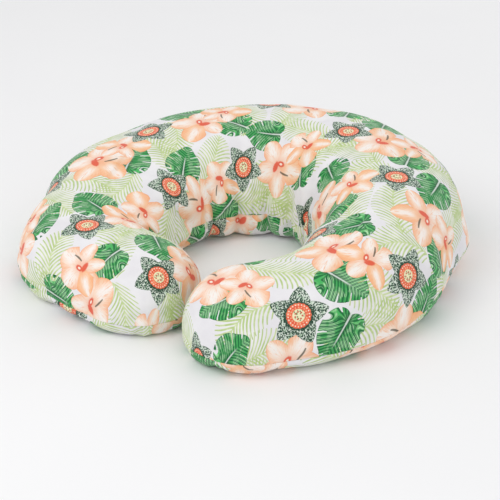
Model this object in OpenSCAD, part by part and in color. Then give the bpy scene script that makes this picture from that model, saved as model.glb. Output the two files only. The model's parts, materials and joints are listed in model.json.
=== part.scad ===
// C-shaped nursing pillow: a removable two-panel cover with a zip along its back,
// an inner casing, and a loose fibre filling.
//
// The pillow rests on the plane z = 0. The centre of the waist opening is the origin,
// the closed back of the C points to +Y, and the two arms curve round towards -Y.
// The back, the left arm and the right arm meet on the plane y = 0, where the arms
// flex open about upright axes on their outer edges.

/* [Plan] */
// Radius of the back, from the waist opening's centre to the middle of the section
back_r = 208; // [208:1:225]
// Radius that the left arm curls to, along the middle of its section
left_arm_r = 205; // [195:1:205]
// Angle that the left arm sweeps, up to the start of its rounded tip
left_arm_sweep = 63; // [40:1:63]
// Radius that the right arm curls to, along the middle of its section
right_arm_r = 285; // [275:1:295]
// Angle that the right arm sweeps, up to the start of its rounded tip
right_arm_sweep = 53; // [40:1:53]

/* [Section] */
// Width of the back's section
back_w = 228; // [210:1:232]
// Height of the back above the resting plane
back_h = 150; // [135:1:165]
// Width of each arm's section
arm_w = 186; // [170:1:190]
// Height of each arm above the resting plane
arm_h = 122; // [110:1:134]
// Height of the seam between the top and bottom panels
seam_z = 42; // [40:1:48]

/* [Fabric] */
// Thickness of the cover's cotton
cover_t = 1.2; // [1:0.1:1.4]
// Width of the seam allowance turned in along the cover's seam
allowance_w = 6; // [5.5:0.5:7]
// Thickness of the inner casing's cotton
casing_t = 0.8; // [0.6:0.1:1]

/* [Zip] */
// Angle that the zip covers along the back's outer edge
zip_span = 84; // [60:1:90]
// Distance from one tooth to the next
tooth_pitch = 2.5; // [2.4:0.1:3]
// Length of the pull tab, from its hinge to its free end
tab_len = 24; // [18:1:28]

/* [Care label] */
// Width of the label along the seam
label_w = 30; // [20:1:34]
// Drop of the label below the seam
label_len = 36; // [25:1:38]

/* [Hidden] */

$fn = 128;

print_colour = [0.86, 0.90, 0.83];
cotton_colour = [0.95, 0.95, 0.93];
fibre_colour = [0.98, 0.98, 0.98];
zip_colour = [0.93, 0.93, 0.91];
metal_colour = [0.75, 0.75, 0.77];

// Gap on the plane where an arm meets the back
joint_gap = 1;
// Gap between the top and bottom panels along a seam
seam_gap = 0.4;
// Room left between one layer and the next
layer_gap = 1;

// Points along each quarter of a section's outline
outline_steps = 9;
// Roundness of a section's outline: 2 is an ellipse, more is squarer
crown_power = 2.25;
underside_power = 2.6;
// How far each full curve would reach, as a share of the level that cuts it flat
crown_share = 1.005;
underside_share = 1.12;

// How far a tip's section is set in from its arm's, which keeps their curved faces apart,
// and how thick the thread is there as a share of its thickness elsewhere
tip_step = 0.5;
tip_thread = 0.8;
// Angle that a tip's turn laps back into its arm, so that the two join
tip_lap = 0.5;

// Overlock thread on the raw edges of the seam allowance, and its room beside them
thread_r = 0.5;
thread_gap = 0.6;

// How far the casing lies inside the cover at the seam, and at the crown and underside
casing_side = cover_t + allowance_w + thread_gap + 2 * thread_r + layer_gap;
casing_top = cover_t + layer_gap;
// The same for the filling
filling_side = casing_side + casing_t + layer_gap;
filling_top = casing_top + casing_t + layer_gap;

// Outer radius of the back at the seam, where the zip and the care label sit
seam_r = back_r + back_w / 2;
// Radius of the middle of the zip's tapes, which lie just inside the cover
zip_r = seam_r - 2.9;
zip_start = 90 - zip_span / 2;
zip_end = 90 + zip_span / 2;
// Opening left in the cover for the zip: its height, depth, and angle past the zip's ends
opening_h = 13;
opening_depth = 12;
opening_past = 1;

tape_t = 0.5;
tape_w = 8;
// Angle that the tapes run on under the cover past the zip's ends
tape_past = 3;
// Slot between the two rows of teeth, and the size of one tooth across, along and deep
slot_h = 0.9;
tooth_w = 2.75;
tooth_len = 1.6;
tooth_t = 2.5;
// Gap between a row of teeth and its tape's edge
tooth_gap = 0.05;
tooth_count = floor(zip_span * PI / 180 * zip_r / tooth_pitch);

// Stops, as sizes along the zip and as angles past its ends
stop_len = 3;
stop_past = 0.5;

// Slider: size along and across the zip, plate thickness, and the room between its plates
slider_len = 12;
slider_w = 10.5;
plate_t = 1;
slider_room = 3;
// Angle from the zip's closed end to the slider's middle
slider_at = zip_end - 1.5;
// Height of the pull tab's axis above the middle of the tapes
tab_axis = 3.7;
// Pull tab: its hinge bar's radius, thickness, width, rail length and window width
bar_r = 0.8;
tab_t = 1.2;
tab_w = 9;
rail_len = 5;
window_w = 3.4;

// Care label: thickness, angle along the back, and its fold's distance off the cover
label_t = 0.4;
label_at = 146;
label_off = 0.6;

// ---------------------------------------------------------------- outlines

function body_w(body) = body == "back" ? back_w : arm_w;
function body_h(body) = body == "back" ? back_h : arm_h;

// A quarter of a rounded outline, from [w, 0] towards [0, h], cut level at height top
function quarter(w, h, power, top) =
    let (last = asin(pow(top / h, power / 2)))
    [for (i = [0:outline_steps])
        let (a = last * i / outline_steps)
        [w * pow(cos(a), 2 / power), h * pow(sin(a), 2 / power)]];

// Right half of a body's outline, from the seam to its middle: up over the crown, or down
// over the underside as positive depths, set in by side at the seam and by top at the middle
function half_line(up, body, side, top) =
    let (reach = up ? body_h(body) - seam_z : seam_z)
    let (level = reach - seam_gap / 2 - top)
    let (share = up ? crown_share : underside_share)
    concat(
        quarter(
            body_w(body) / 2 - side, level * share, up ? crown_power : underside_power, level),
        [[0, level]]);

function backwards(points) = [for (i = [len(points) - 1:-1:0]) points[i]];

// The line without its point on the middle, which a level stretch doesn't need
function off_middle(line) = [for (p = line) if (p[0] != 0) p];

// The same mirrored to the other side and reversed
function other_side(line) = [for (p = off_middle(backwards(line))) [-p[0], p[1]]];

// Inner line of a sewn panel's right half, from the middle back to the seam, with any seam
// allowance turned in
function inner_line(up, body, side, top, t, allowance) =
    let (line = half_line(up, body, side + t, top + t))
    allowance == 0
        ? backwards(line)
        : concat(
            backwards([for (p = line) if (p[1] > t) p]),
            [[line[0][0], t], [line[0][0] - allowance, t], [line[0][0] - allowance, 0]]);

// ---------------------------------------------------------------- sweeps

// Sweeps child 0 along a left-hand arm, and turns child 1, its right half, round the tip
module arm_sweep(r, sweep) {
    translate([r - back_r, -joint_gap, 0]) {
        rotate_extrude(angle = sweep, start = 180)
            translate([r, 0])
                children(0);
        rotate([0, 0, sweep])
            translate([-r, 0, 0])
                rotate_extrude(angle = 180 + 2 * tip_lap, start = 180 - tip_lap)
                    children(1);
    }
}

// Sweeps a section, and its right half round a tip, along one of the pillow's three bodies
module body_sweep(body) {
    if (body == "back")
        rotate_extrude(angle = 180)
            translate([back_r, 0])
                children(0);
    else if (body == "left_arm")
        arm_sweep(left_arm_r, left_arm_sweep) {
            children(0);
            children(1);
        }
    else
        mirror([1, 0, 0])
            arm_sweep(right_arm_r, right_arm_sweep) {
                children(0);
                children(1);
            }
}

// Places what is drawn up from the seam: a crown above it, or an underside turned over below it
module from_seam(up) {
    if (up)
        translate([0, 0, seam_z + seam_gap / 2])
            children();
    else
        translate([0, 0, seam_z - seam_gap / 2])
            mirror([0, 0, 1])
                children();
}

// A sewn panel of thickness t, set in by side at the seam and by top at the middle
module panel(up, body, side, top, t, allowance) {
    outer = half_line(up, body, side, top);
    inner = inner_line(up, body, side, top, t, allowance);
    tip_outer = half_line(up, body, side + tip_step, top + tip_step);
    tip_inner = inner_line(up, body, side + tip_step, top + tip_step, t, allowance);
    from_seam(up)
        body_sweep(body) {
            polygon(concat(
                off_middle(outer), other_side(outer), other_side(inner), off_middle(inner)));
            polygon(concat(tip_outer, tip_inner));
        }
}

// ---------------------------------------------------------------- cover

// The gap in the back's seam that the zip closes
module zip_opening() {
    rotate_extrude(angle = zip_span + 2 * opening_past, start = zip_start - opening_past)
        translate([seam_r + layer_gap - opening_depth, seam_z - opening_h / 2])
            square([opening_depth, opening_h]);
}

module cover_panel(up, body) {
    panel(up, body, 0, 0, cover_t, allowance_w);
}

module cover_seam_thread(body) {
    x = body_w(body) / 2 - cover_t - allowance_w - thread_gap - thread_r;
    translate([0, 0, seam_z])
        body_sweep(body) {
            for (side = [-1, 1])
                translate([side * x, 0])
                    circle(thread_r, $fn = 8);
            translate([x, 0])
                circle(thread_r * tip_thread, $fn = 8);
        }
}

module cover_top_panel_back() {
    color(print_colour)
        difference() {
            cover_panel(true, "back");
            zip_opening();
        }
}

module cover_top_panel_left_arm() {
    color(print_colour)
        cover_panel(true, "left_arm");
}

module cover_top_panel_right_arm() {
    color(print_colour)
        cover_panel(true, "right_arm");
}

module cover_bottom_panel_back() {
    color(print_colour)
        difference() {
            cover_panel(false, "back");
            zip_opening();
        }
}

module cover_bottom_panel_left_arm() {
    color(print_colour)
        cover_panel(false, "left_arm");
}

module cover_bottom_panel_right_arm() {
    color(print_colour)
        cover_panel(false, "right_arm");
}

module cover_seam_thread_back() {
    color(cotton_colour)
        difference() {
            cover_seam_thread("back");
            zip_opening();
        }
}

module cover_seam_thread_left_arm() {
    color(cotton_colour)
        cover_seam_thread("left_arm");
}

module cover_seam_thread_right_arm() {
    color(cotton_colour)
        cover_seam_thread("right_arm");
}

// ---------------------------------------------------------------- inner casing

module casing_panel(up, body) {
    panel(up, body, casing_side, casing_top, casing_t, 0);
}

module casing_top_panel_back() {
    color(cotton_colour)
        casing_panel(true, "back");
}

module casing_top_panel_left_arm() {
    color(cotton_colour)
        casing_panel(true, "left_arm");
}

module casing_top_panel_right_arm() {
    color(cotton_colour)
        casing_panel(true, "right_arm");
}

module casing_bottom_panel_back() {
    color(cotton_colour)
        casing_panel(false, "back");
}

module casing_bottom_panel_left_arm() {
    color(cotton_colour)
        casing_panel(false, "left_arm");
}

module casing_bottom_panel_right_arm() {
    color(cotton_colour)
        casing_panel(false, "right_arm");
}

// ---------------------------------------------------------------- filling

// Right half of the filling's section, from the bottom to the top
function filling_half(body, inset) =
    concat(
        [for (p = backwards(half_line(false, body, filling_side + inset, filling_top + inset)))
            [p[0], seam_z - seam_gap / 2 - p[1]]],
        [for (p = half_line(true, body, filling_side + inset, filling_top + inset))
            [p[0], seam_z + seam_gap / 2 + p[1]]]);

// Loose fibre balls, packed to the casing's inside
module fibre_filling(body) {
    half = filling_half(body, 0);
    body_sweep(body) {
        polygon(concat(off_middle(half), other_side(half)));
        polygon(filling_half(body, tip_step));
    }
}

module fibre_filling_back() {
    color(fibre_colour)
        fibre_filling("back");
}

module fibre_filling_left_arm() {
    color(fibre_colour)
        fibre_filling("left_arm");
}

module fibre_filling_right_arm() {
    color(fibre_colour)
        fibre_filling("right_arm");
}

// ---------------------------------------------------------------- zip

// Places a shape drawn about the tapes' middle: x outwards, y along the zip, z across it
module on_zip(angle) {
    rotate([0, 0, angle])
        translate([zip_r, 0, seam_z])
            children();
}

// Turns the upper half of the zip over to make the lower half
module lower_half() {
    translate([0, 0, 2 * seam_z])
        mirror([0, 0, 1])
            children();
}

module block(size, at) {
    translate(at - size / 2)
        cube(size);
}

module zip_tape() {
    rotate_extrude(angle = zip_span + 2 * tape_past, start = zip_start - tape_past)
        translate([zip_r - tape_t / 2, seam_z + slot_h / 2 + tooth_w + tooth_gap])
            square([tape_t, tape_w]);
}

// One row of teeth, moved along the zip by a share of the pitch
module zip_teeth(shift) {
    step = zip_span / tooth_count;
    for (i = [0:tooth_count - 1])
        on_zip(zip_start + (i + shift) * step)
            block([tooth_t, tooth_len, tooth_w], [0, 0, (slot_h + tooth_w) / 2]);
}

module zip_tape_upper() {
    color(zip_colour)
        zip_tape();
}

module zip_tape_lower() {
    color(zip_colour)
        lower_half()
            zip_tape();
}

module zip_teeth_upper() {
    color(zip_colour)
        zip_teeth(0.25);
}

module zip_teeth_lower() {
    color(zip_colour)
        lower_half()
            zip_teeth(0.75);
}

module zip_top_stops() {
    color(metal_colour)
        on_zip(zip_end + stop_past)
            for (side = [-1, 1])
                block([tooth_t, stop_len, tooth_w], [0, 0, side * (slot_h + tooth_w) / 2]);
}

module zip_bottom_stop() {
    color(metal_colour)
        on_zip(zip_start - stop_past)
            block([tooth_t, stop_len, slot_h + 2 * tooth_w], [0, 0, 0]);
}

// Two plates joined at the nose by a thin wedge, with flanges that guide the tapes and an
// arched bridge for the pull tab
module zip_slider() {
    flange_w = 1;
    flange_t = 0.9;
    wedge_len = 2.5;
    wedge_w = 0.4;
    bridge_w = 2.4;
    bridge_len = 7.2;
    bridge_h = 3.4;
    post_len = 1.2;
    plate_x = (slider_room + plate_t) / 2;
    bridge_x = slider_room / 2 + plate_t + bridge_h / 2;
    color(metal_colour)
        on_zip(slider_at)
            union() {
                for (side = [-1, 1]) {
                    block([plate_t, slider_len, slider_w], [side * plate_x, 0, 0]);
                    for (edge = [-1, 1])
                        block(
                            [flange_t, slider_len, flange_w],
                            [side * (slider_room - flange_t) / 2, 0, edge * (slider_w - flange_w) / 2]);
                }
                block([slider_room, wedge_len, wedge_w], [0, (slider_len - wedge_len) / 2, 0]);
                difference() {
                    block([bridge_h, bridge_len, bridge_w], [bridge_x, 0, 0]);
                    block(
                        [bridge_h, bridge_len - 2 * post_len, bridge_w + 1],
                        [bridge_x - plate_t, 0, 0]);
                }
            }
}

// A plate with a window near one end; the bar across that end hangs under the slider's bridge
module zip_pull_tab() {
    hole_r = 2.2;
    plate_len = tab_len - rail_len - tab_w / 2;
    color(metal_colour)
        on_zip(slider_at)
            translate([tab_axis, 0, 0]) {
                difference() {
                    union() {
                        block([tab_t, rail_len, 2 * bar_r + window_w], [0, -rail_len / 2, 0]);
                        block([tab_t, plate_len, tab_w], [0, -rail_len - plate_len / 2, 0]);
                        translate([-tab_t / 2, -rail_len - plate_len, 0])
                            rotate([0, 90, 0])
                                cylinder(tab_t, r = tab_w / 2);
                        cylinder(2 * bar_r + window_w, r = bar_r, center = true);
                    }
                    block(
                        [tab_t + 1, rail_len - bar_r, window_w],
                        [0, -(rail_len + bar_r) / 2, 0]);
                    translate([-tab_t, -rail_len - plate_len, 0])
                        rotate([0, 90, 0])
                            cylinder(2 * tab_t, r = hole_r);
                }
            }
}

// ---------------------------------------------------------------- care label

// A blank ribbon that folds about the seam
module care_label() {
    color(cotton_colour)
        rotate([0, 0, label_at])
            translate([seam_r + label_off, 0, seam_z])
                block([label_t, label_w, label_len], [0, 0, -label_len / 2]);
}

// ---------------------------------------------------------------- assembly

cover_top_panel_back();
cover_top_panel_left_arm();
cover_top_panel_right_arm();
cover_bottom_panel_back();
cover_bottom_panel_left_arm();
cover_bottom_panel_right_arm();
cover_seam_thread_back();
cover_seam_thread_left_arm();
cover_seam_thread_right_arm();
casing_top_panel_back();
casing_top_panel_left_arm();
casing_top_panel_right_arm();
casing_bottom_panel_back();
casing_bottom_panel_left_arm();
casing_bottom_panel_right_arm();
fibre_filling_back();
fibre_filling_left_arm();
fibre_filling_right_arm();
zip_tape_upper();
zip_tape_lower();
zip_teeth_upper();
zip_teeth_lower();
zip_top_stops();
zip_bottom_stop();
zip_slider();
zip_pull_tab();
care_label();
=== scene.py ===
"""Nursing pillow: soft C-shaped pillow in a printed cotton cover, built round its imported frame."""

import json
import math

import bpy
import numpy as np
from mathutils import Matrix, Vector
from mathutils.kdtree import KDTree


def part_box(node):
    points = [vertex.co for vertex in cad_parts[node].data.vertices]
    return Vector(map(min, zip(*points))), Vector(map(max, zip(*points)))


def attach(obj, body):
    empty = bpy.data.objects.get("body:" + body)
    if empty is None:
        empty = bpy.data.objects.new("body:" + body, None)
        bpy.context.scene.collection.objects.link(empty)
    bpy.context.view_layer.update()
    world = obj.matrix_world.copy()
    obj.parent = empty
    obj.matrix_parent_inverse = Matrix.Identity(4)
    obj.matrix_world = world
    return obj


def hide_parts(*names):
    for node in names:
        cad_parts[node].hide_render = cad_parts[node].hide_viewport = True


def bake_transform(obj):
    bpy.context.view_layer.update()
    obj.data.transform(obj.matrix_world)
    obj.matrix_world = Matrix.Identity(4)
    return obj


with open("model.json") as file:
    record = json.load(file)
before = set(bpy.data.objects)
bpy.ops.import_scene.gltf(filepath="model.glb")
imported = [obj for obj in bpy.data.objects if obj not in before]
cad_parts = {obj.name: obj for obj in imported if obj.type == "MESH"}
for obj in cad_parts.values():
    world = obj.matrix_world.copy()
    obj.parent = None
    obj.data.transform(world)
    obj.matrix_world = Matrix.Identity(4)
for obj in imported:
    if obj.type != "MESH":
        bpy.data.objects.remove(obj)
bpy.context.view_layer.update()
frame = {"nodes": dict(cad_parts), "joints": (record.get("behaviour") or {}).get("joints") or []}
joints = {j["name"]: j for j in frame["joints"]}
scene = bpy.context.scene

# ---------------------------------------------------------------- sizes, from the frame

SEAM_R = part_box("cover_top_panel_back")[1].x
BACK_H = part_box("cover_top_panel_back")[1].z
ARM_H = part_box("cover_top_panel_left_arm")[1].z
SEAM_Z = joints["zip_slider_travel"]["pos_m"][2]
TAPE_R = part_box("zip_tape_upper")[1].y
TAPE_END_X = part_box("zip_tape_upper")[1].x
TAPE_END = math.acos(TAPE_END_X / TAPE_R)
STOP_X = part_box("zip_bottom_stop")[1].x

# Plan of the C: t runs from -2 at the left tip, over 0 at the middle of the back, to 2 at the right
BACK_HALF = 0.124
BACK_R = SEAM_R - BACK_HALF
SIDE_R = BACK_R - 0.005
LEFT_R, LEFT_SWEEP = 0.210, math.radians(59)
RIGHT_R, RIGHT_SWEEP = 0.274, math.radians(55)
LEFT_FLARE, RIGHT_FLARE = 0.029, 0.014

# Half width and height of the pillow at seven places from tip to tip, in whole millimetres. They,
# the plan above, BOTTOM_POWER and the camera come from a fit of the outline to the photograph
T_KEYS = (-2.0, -1.20, -0.55, 0.0, 0.55, 1.20, 2.0)
LEFT_TIP_HALF, LEFT_SIDE_HALF, LEFT_SHOULDER_HALF = 0.082, 0.108, 0.127
RIGHT_SHOULDER_HALF, RIGHT_SIDE_HALF, RIGHT_TIP_HALF = 0.119, 0.101, 0.085
HALF_KEYS = (
    LEFT_TIP_HALF, LEFT_SIDE_HALF, LEFT_SHOULDER_HALF, BACK_HALF,
    RIGHT_SHOULDER_HALF, RIGHT_SIDE_HALF, RIGHT_TIP_HALF)
LEFT_TIP_H, LEFT_SIDE_H, LEFT_SHOULDER_H = ARM_H - 0.018, ARM_H - 0.011, BACK_H - 0.006
MIDDLE_H = BACK_H + 0.009
RIGHT_SHOULDER_H, RIGHT_SIDE_H, RIGHT_TIP_H = BACK_H + 0.008, ARM_H + 0.015, ARM_H - 0.020
HEIGHT_KEYS = (
    LEFT_TIP_H, LEFT_SIDE_H, LEFT_SHOULDER_H, MIDDLE_H,
    RIGHT_SHOULDER_H, RIGHT_SIDE_H, RIGHT_TIP_H)
# The seam sinks by SEAM_DROP towards the tips, from SINK_FROM over a length of SINK_OVER, both as t
SEAM_DROP, SINK_FROM, SINK_OVER = 0.020, 0.66, 1.1
# Up to this t the outer seam keeps the frame's circle, which the zip follows
CIRCLE_TO = 0.52

# Roundness of the sections: 2 is an ellipse, more is boxier
TOP_POWER = 2.3
BOTTOM_POWER = 4.2
BOTTOM_SHARE = 1.10

# Fabric
CLOTH_T = 0.0008
ROLL_R = 0.0009
SEAM_GAP = 0.00008
ALLOWANCE = 0.006
SLOT_HALF = 0.0068
HEM = SEAM_R - TAPE_R - 0.0003
# Within this distance of the seam, movement dies away, so that both panels still meet
HOLD = 0.012

# Azimuths from the middle of the back, and how far slit, stitches and bar tack pass the zip's stop
STOP_AZ = math.pi / 2 - math.acos(STOP_X / TAPE_R)
TAPE_END_AZ = math.pi / 2 - TAPE_END
STITCH_PAST, SLIT_PAST, TACK_PAST = math.radians(1.3), math.radians(1.7), math.radians(2.3)


def ease(x):
    """A step from 0 to 1 with soft ends."""
    x = np.clip(x, 0.0, 1.0)
    return x * x * (3 - 2 * x)


def lengths(path):
    """Length along a path up to each of its points."""
    return np.concatenate([[0], np.cumsum(np.linalg.norm(np.diff(path, axis=0), axis=1))])


def cubic(at, values, slope, x):
    """Cubic curve through the values at the positions at, with the slopes given, read at x."""
    x = np.clip(x, at[0], at[-1])
    i = np.clip(np.searchsorted(at, x, side="right") - 1, 0, len(at) - 2)
    shape = (-1,) + (1,) * (values.ndim - 1)
    h = (at[i + 1] - at[i]).reshape(shape)
    u = ((x - at[i]) / (at[i + 1] - at[i])).reshape(shape)
    return ((2 * u ** 3 - 3 * u ** 2 + 1) * values[i] + (u ** 3 - 2 * u ** 2 + u) * h * slope[i]
            + (3 * u ** 2 - 2 * u ** 3) * values[i + 1] + (u ** 3 - u ** 2) * h * slope[i + 1])


def keyed(t, keys):
    """Smooth curve through the values at T_KEYS, level at both ends."""
    at, keys = np.array(T_KEYS), np.array(keys, float)
    slope = np.gradient(keys, at)
    slope[[0, -1]] = 0
    return cubic(at, keys, slope, t)


def plan(t):
    """Points on the middle line of the C."""
    t = np.asarray(t, float)
    turn = np.clip(t, -1, 1) * math.pi / 2
    r = SEAM_R - keyed(t, HALF_KEYS)
    r = r + (SIDE_R - r) * ease((np.abs(t) - CIRCLE_TO) / (1 - CIRCLE_TO))
    x, y = r * np.sin(turn), r * np.cos(turn)
    for side, radius, sweep, flare in (
            (1, RIGHT_R, RIGHT_SWEEP, RIGHT_FLARE), (-1, LEFT_R, LEFT_SWEEP, LEFT_FLARE)):
        on = side * t > 1
        a = (side * t[on] - 1) * sweep
        out = radius + flare * np.sin(math.pi * (side * t[on] - 1)) ** 2
        x[on] = side * (SIDE_R - radius + out * np.cos(a))
        y[on] = -out * np.sin(a)
    return np.stack([x, y], 1)


# Middle line sampled by length, with its direction, and the same line laid flat with less curl,
# which is how the printed cloth lies before it is sewn
FLAT_CURL = 0.6
_t = np.linspace(-2, 2, 6001)
_p = plan(_t)
_s = lengths(_p)
_d = np.gradient(_p, _s, axis=0)
_heading = np.unwrap(np.arctan2(_d[:, 1], _d[:, 0]))
_smooth = np.hanning(401) / np.hanning(401).sum()
_heading = np.convolve(np.pad(_heading, 200, mode="edge"), _smooth, mode="valid")
_flat_heading = _heading * FLAT_CURL
_step = np.diff(_s)
_flat = np.concatenate([[[0, 0]], np.cumsum(np.stack(
    [np.cos(_flat_heading[:-1]) * _step, np.sin(_flat_heading[:-1]) * _step], 1), axis=0)])
_flat -= _flat[len(_flat) // 2]
LENGTH = _s[-1]


def along(s, table):
    """Values of a table of the middle line at lengths s."""
    table = np.asarray(table)
    if table.ndim == 1:
        return np.interp(s, _s, table)
    return np.stack([np.interp(s, _s, table[:, k]) for k in range(table.shape[1])], -1)


# ---------------------------------------------------------------- section outlines

ROLL_STEPS = 4
ALLOWANCE_STEPS = 2


def column_marks(main, edge):
    """Column positions from the crown (0) to the seam (1), round the rolled edge (2) and along
    the allowance (3)."""
    half = list(np.linspace(0, 1, main + 1))
    if edge:
        half += list(1 + np.arange(1, ROLL_STEPS + 1) / ROLL_STEPS)
        half += list(2 + np.arange(1, ALLOWANCE_STEPS + 1) / ALLOWANCE_STEPS)
    return np.array(half)


def outline(w, h, power, share, edge, roll, depth, marks):
    """(across, rise, length) of a quarter section at the marks; rise is counted from the seam."""
    k = np.linspace(0, 1, 500)
    up, down = k ** (power / 2), (1 - k) ** (power / 2)
    a = math.pi / 2 * up / (up + down)
    x = w * np.sin(a) ** (2 / power)
    z = h * share * np.cos(a) ** (2 / power)
    if share > 1:
        soft = 0.12 * h
        over = np.clip(z - (h - soft), 0, 2 * soft)
        z = np.minimum(z, h - soft) + over - over * over / (4 * soft)
    keep = z >= edge + roll
    x, z = x[keep], z[keep]
    x = np.append(x, np.interp(edge + roll, z[::-1][:3], x[::-1][:3]) if len(z) > 3 else x[-1])
    z = np.append(z, edge + roll)
    length = np.concatenate([[0], np.cumsum(np.hypot(np.diff(x), np.diff(z)))])
    total = length[-1]
    m = np.minimum(marks, 1) * total
    px, pz = np.interp(m, length, x), np.interp(m, length, z)
    if marks[-1] > 1:
        r = np.clip(marks - 1, 0, 1) * math.pi / 2
        px = np.where(marks > 1, x[-1] - roll + roll * np.cos(r), px)
        pz = np.where(marks > 1, edge + roll - roll * np.sin(r), pz)
        inward = np.clip(marks - 2, 0, 1) * max(depth - roll, 0)
        px = px - np.where(marks > 2, inward, 0)
    return px, pz, total


def opening(s):
    """Half height of the cover's opening for the zip, at length s along the middle line."""
    azimuth = np.abs(along(s, _t)) * math.pi / 2
    return SLOT_HALF * ease((STOP_AZ + SLIT_PAST - azimuth) * SEAM_R / 0.010)


def hem_depth(s):
    """Depth of the allowance, which is a shallower hem where the zip's tape lies."""
    azimuth = np.abs(along(s, _t)) * math.pi / 2
    near = ease((TAPE_END_AZ + math.radians(2.5) - azimuth) / math.radians(1.5))
    return ALLOWANCE + (HEM - ALLOWANCE) * near


# ---------------------------------------------------------------- panels

def cross_and_ahead(heading, beyond):
    """Directions across the middle line and along it, the latter turned round if beyond is -1."""
    sin, cos = math.sin(heading), math.cos(heading)
    return np.array([-sin, cos]), np.array([cos, sin]) * beyond


def panel(up, main, step, edge=True, side=0.0, rise=0.0, closed=False):
    """A panel as a grid: rows along the C and concentric rows round each tip, columns from the
    inner seam to the outer one. side and rise set it in at the seam and at the crown.

    P holds the points, F their places on the flat cloth, S their lengths along the middle line, Q
    their column marks, L the surface length from crown to seam and O the way outwards."""
    marks = column_marks(main, edge)
    rows = int(round(LENGTH / step))
    s_rows = np.linspace(0, LENGTH, rows + 1)
    t_rows = along(s_rows, _t)
    signed = np.concatenate([-marks[:0:-1], marks])
    n_half = len(marks) - 1
    ring = np.arange(1, n_half + 1)
    n_rows = rows + 1 + 2 * n_half
    P, O = (np.zeros((n_rows, len(signed), 3)) for _ in range(2))
    F = np.zeros((n_rows, len(signed), 2))
    S, Q, L = (np.zeros((n_rows, len(signed))) for _ in range(3))
    row_mark = np.zeros(n_rows)
    power = TOP_POWER if up else BOTTOM_POWER
    share = 1.0 if up else BOTTOM_SHARE
    half = keyed(t_rows, HALF_KEYS) - side
    height = keyed(t_rows, HEIGHT_KEYS)
    seam = SEAM_Z - SEAM_DROP * ease((np.abs(t_rows) - SINK_FROM) / SINK_OVER)
    reach = (height - seam if up else seam) - rise
    centre, heading = along(s_rows, _p), along(s_rows, _heading)
    flat, flat_heading = along(s_rows, _flat), along(s_rows, _flat_heading)
    lift = opening(s_rows) if edge else np.zeros(rows + 1)
    depth = hem_depth(s_rows)
    sign = 1 if up else -1
    base = SEAM_GAP if edge or not closed else 0.0
    roll = ROLL_R if edge else 0.0

    def place(row, i, a, b, px, pz, q, total):
        """Row of points at unit-disc coordinates a across and b beyond station i."""
        beyond = -1 if i == 0 else 1
        n, d = cross_and_ahead(heading[i], beyond)
        fn, fd = cross_and_ahead(flat_heading[i], beyond)
        P[row, :, :2] = centre[i] + np.outer(px * a, n) + np.outer(px * b, d)
        P[row, :, 2] = seam[i] + sign * pz
        reach_q = np.minimum(q, 1) * total
        F[row] = flat[i] + np.outer(reach_q * a, fn) + np.outer(reach_q * b, fd)
        S[row] = s_rows[i] + (b * px) * beyond
        O[row, :, :2] = np.outer(a, n) + np.outer(b, d)
        Q[row] = q
        L[row] = total

    for i in range(rows + 1):
        row = i + n_half
        row_mark[row] = s_rows[i] / LENGTH
        inner = outline(half[i], reach[i], power, share, base, roll, ALLOWANCE, marks)
        outer = outline(half[i], reach[i], power, share, base + lift[i], roll, depth[i], marks)
        px = np.concatenate([inner[0][:0:-1], outer[0]])
        pz = np.concatenate([inner[1][:0:-1], outer[1]])
        total = np.where(signed < 0, inner[2], outer[2])
        place(row, i, np.sign(signed), 0 * signed, px, pz, np.abs(signed), total)
    for end, i in ((0, 0), (1, rows)):
        px_m, pz_m, total = outline(half[i], reach[i], power, share, base, roll, ALLOWANCE, marks)
        steps = np.arange(n_half + 1)
        for k in ring:
            col = np.abs(np.arange(-n_half, n_half + 1))
            level = np.maximum(col, k)
            direction = np.sign(signed)
            angle = np.where(
                k <= col, math.pi / 4 * k / np.maximum(col, 1),
                math.pi / 2 - math.pi / 4 * col / k)
            a, b = np.cos(angle) * direction, np.sin(angle)
            a = np.where(col == 0, 0.0, a)
            b = np.where(col == 0, 1.0, b)
            row = rows + n_half + k if end else n_half - k
            row_mark[row] = 1 + k / n_half if end else -k / n_half
            place(row, i, a, b, np.interp(level, steps, px_m), np.interp(level, steps, pz_m),
                  marks[level], total)
    return dict(P=P, F=F, S=S, Q=Q, L=L, O=O, rows=row_mark, cols=signed, up=up, n_half=n_half,
                main=main)


def from_seam(g):
    """Distance of a panel's points from the seam, over the surface."""
    return np.clip(1 - g["Q"], 0, 1) * g["L"]


def hold(g):
    """How freely a panel's points may move: 0 at the seam and 1 beyond HOLD from it."""
    return ease((1 - np.minimum(g["Q"], 1)) * g["L"] / HOLD)


def grid_normals(P, up):
    """Outward directions at the points of a grid."""
    du = np.gradient(P, axis=1)
    dv = np.gradient(P, axis=0)
    n = np.cross(dv, du) if up else np.cross(du, dv)
    return n / np.maximum(np.linalg.norm(n, axis=2, keepdims=True), 1e-12)


# ---------------------------------------------------------------- creases and lumps

rng = np.random.default_rng(11)


def waves(count, low, high, strength):
    """Smooth seeded noise: a list of sine waves with wavelengths between low and high."""
    size = rng.uniform(low, high, count)
    d = rng.normal(size=(count, 3))
    d /= np.linalg.norm(d, axis=1, keepdims=True)
    phase = rng.uniform(0, 2 * math.pi, count)
    return d * (2 * math.pi / size)[:, None], phase, strength / math.sqrt(count)


def wave_sum(P, set_):
    k, phase, strength = set_
    return strength * np.sin(P @ k.T + phase).sum(-1)


LUMPS = waves(9, 0.10, 0.22, 0.0016)
SMALL_LUMPS = waves(12, 0.035, 0.08, 0.00045)

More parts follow.
